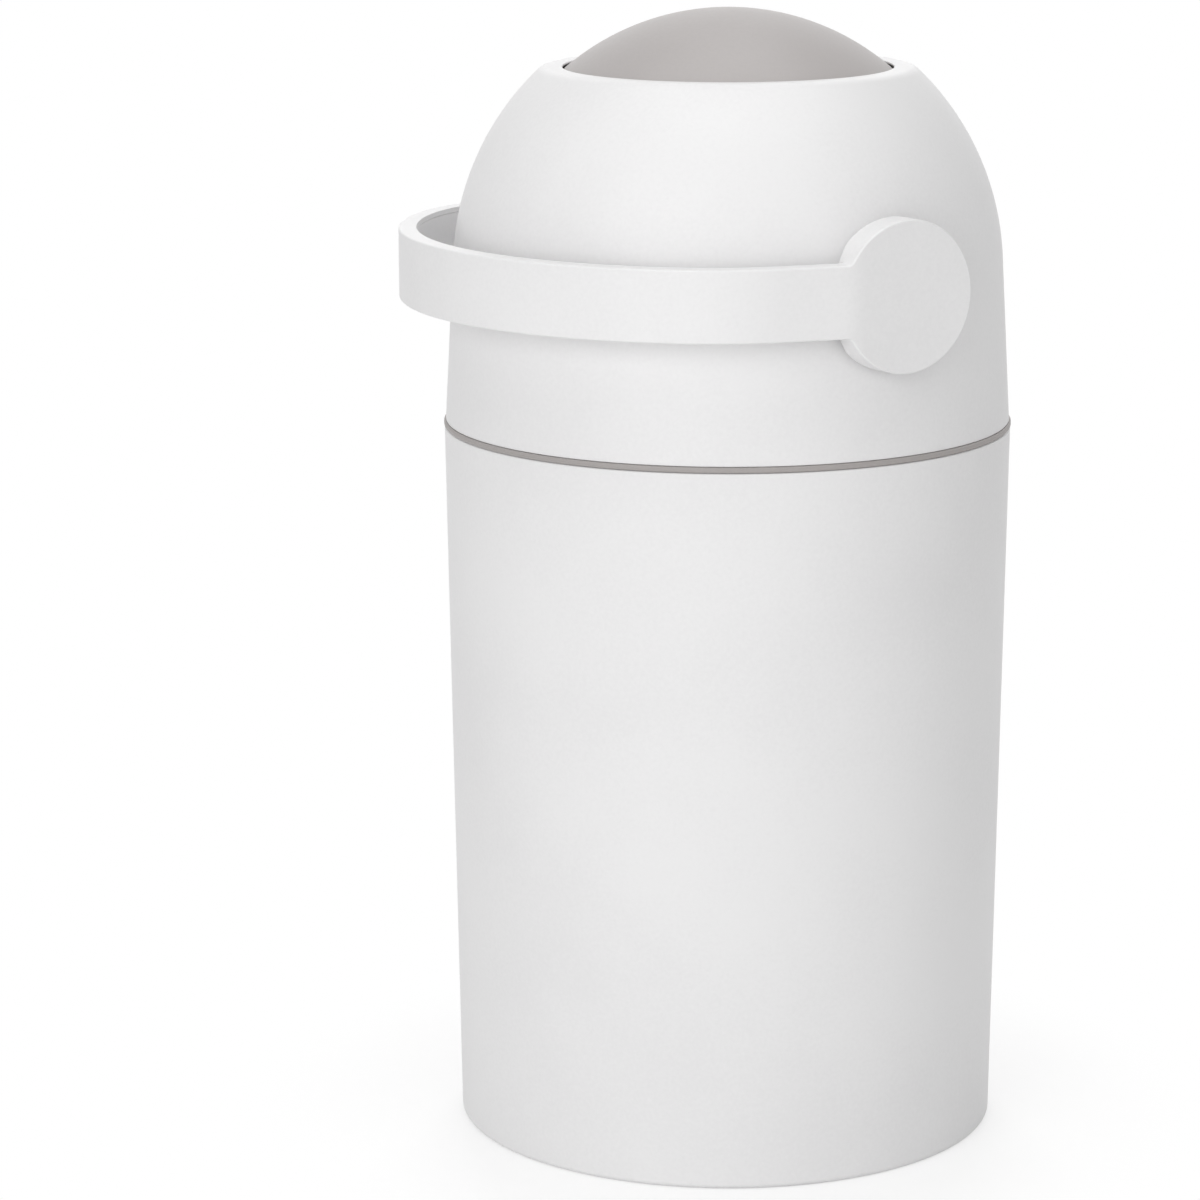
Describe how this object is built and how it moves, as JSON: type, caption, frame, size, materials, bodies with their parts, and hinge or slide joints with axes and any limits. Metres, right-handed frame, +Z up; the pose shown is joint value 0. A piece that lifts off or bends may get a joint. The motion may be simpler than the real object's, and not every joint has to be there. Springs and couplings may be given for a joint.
{
  "type": "nappy bin",
  "caption": "Round floor-standing nappy bin with a domed head; a swinging band handle turns a ball-shaped cup inside the head to drop a nappy into the bag below.",
  "frame": {"origin": "on the bin's axis at the floor, the middle of the underside's centre pad", "axes": "+Z up along the bin's axis; +X along the handle's pivot, out of the right-hand round end; the grip lies at -Y at rest"},
  "size_m": [0.3066, 0.3023, 0.5581],
  "materials": {
    "white_shell": "satin-matte white moulded plastic",
    "tray_plastic": "matte white moulded plastic",
    "grey_ring": "satin warm grey moulded plastic",
    "grey_ball": "satin warm grey moulded plastic",
    "seal_rubber": "soft matte sealing rubber",
    "nylon": "natural bearing plastic",
    "screw_steel": "zinc-plated steel"
  },
  "bodies": {
    "bin": {"base_bin": "white_shell"},
    "ring": {"bag_ring": "grey_ring", "ring_seal": "seal_rubber"},
    "head": {"head_shell": "white_shell", "head_tray": "tray_plastic", "tray_screws": "screw_steel", "upper_seal": "seal_rubber", "lower_seal": "seal_rubber", "bush_left": "nylon", "bush_right": "nylon"},
    "ball": {"ball_body": "grey_ball", "ball_dome": "grey_ball", "cup": "grey_ball", "axle_left": "nylon", "axle_right": "nylon", "axle_screws": "screw_steel", "axle_washers": "screw_steel", "handle_bow": "white_shell", "handle_liner": "white_shell", "end_cover_left": "white_shell", "end_cover_right": "white_shell", "flange_screws": "screw_steel"}
  },
  "joints": [
    {"name": "head_lift", "type": "slide", "parent": "bin", "child": "head", "axis": [0, 0, 1], "range_m": [0, 0.3]},
    {"name": "ring_lift", "type": "slide", "parent": "bin", "child": "ring", "axis": [0, 0, 1], "range_m": [0, 0.12]},
    {"name": "handle_turn", "type": "hinge", "parent": "head", "child": "ball", "pos_m": [0, 0, 0.435], "axis": [-1, 0, 0], "range_deg": [0, 180]}
  ],
  "couplings": [
    {"joint": "ring_lift", "follows": "head_lift", "ratio": 0.4}
  ]
}
